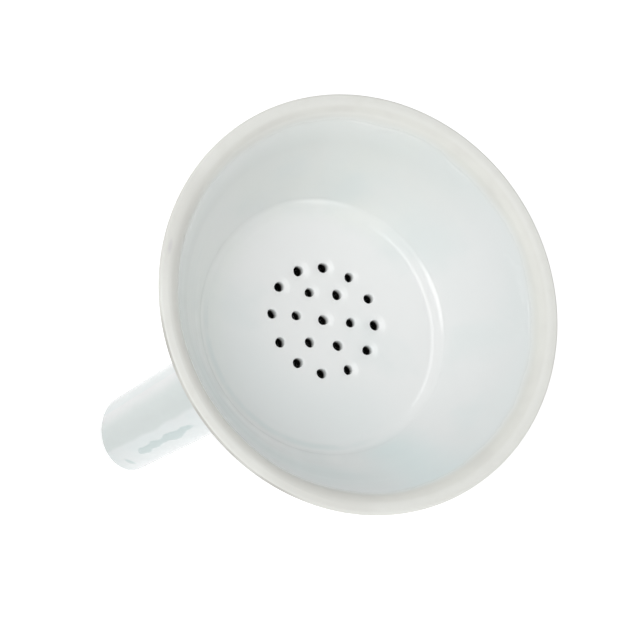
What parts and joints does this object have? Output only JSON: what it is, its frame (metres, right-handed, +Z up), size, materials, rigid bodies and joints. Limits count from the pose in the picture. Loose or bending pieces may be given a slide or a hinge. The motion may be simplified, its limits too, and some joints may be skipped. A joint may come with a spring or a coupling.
{
  "type": "porcelain filter funnel",
  "caption": "Conical porcelain pour-over funnel with a pierced filter plate, a bare ground lip and a long stem with an oblique tip.",
  "frame": {"origin": "on the funnel's axis, level with the circle where the collecting cone measures 40 mm across outside and rests in a vessel's neck", "axes": "+Z up along the axis, from the stem's tip to the mouth; +X towards the longest side of the oblique tip; +Y completes the right-handed frame"},
  "size_m": [0.1, 0.1, 0.185],
  "materials": {
    "glazed_porcelain": "clear glossy glaze over white porcelain, faintly blue-green where it pools",
    "bare_porcelain": "unglazed ground porcelain, matt warm white"
  },
  "bodies": {
    "root": {"rim_lip": "bare_porcelain", "bowl_wall": "glazed_porcelain", "plate_fillet": "glazed_porcelain", "filter_plate": "glazed_porcelain", "collector_cone": "glazed_porcelain", "stem_fillet": "glazed_porcelain", "stem": "glazed_porcelain"}
  },
  "joints": []
}
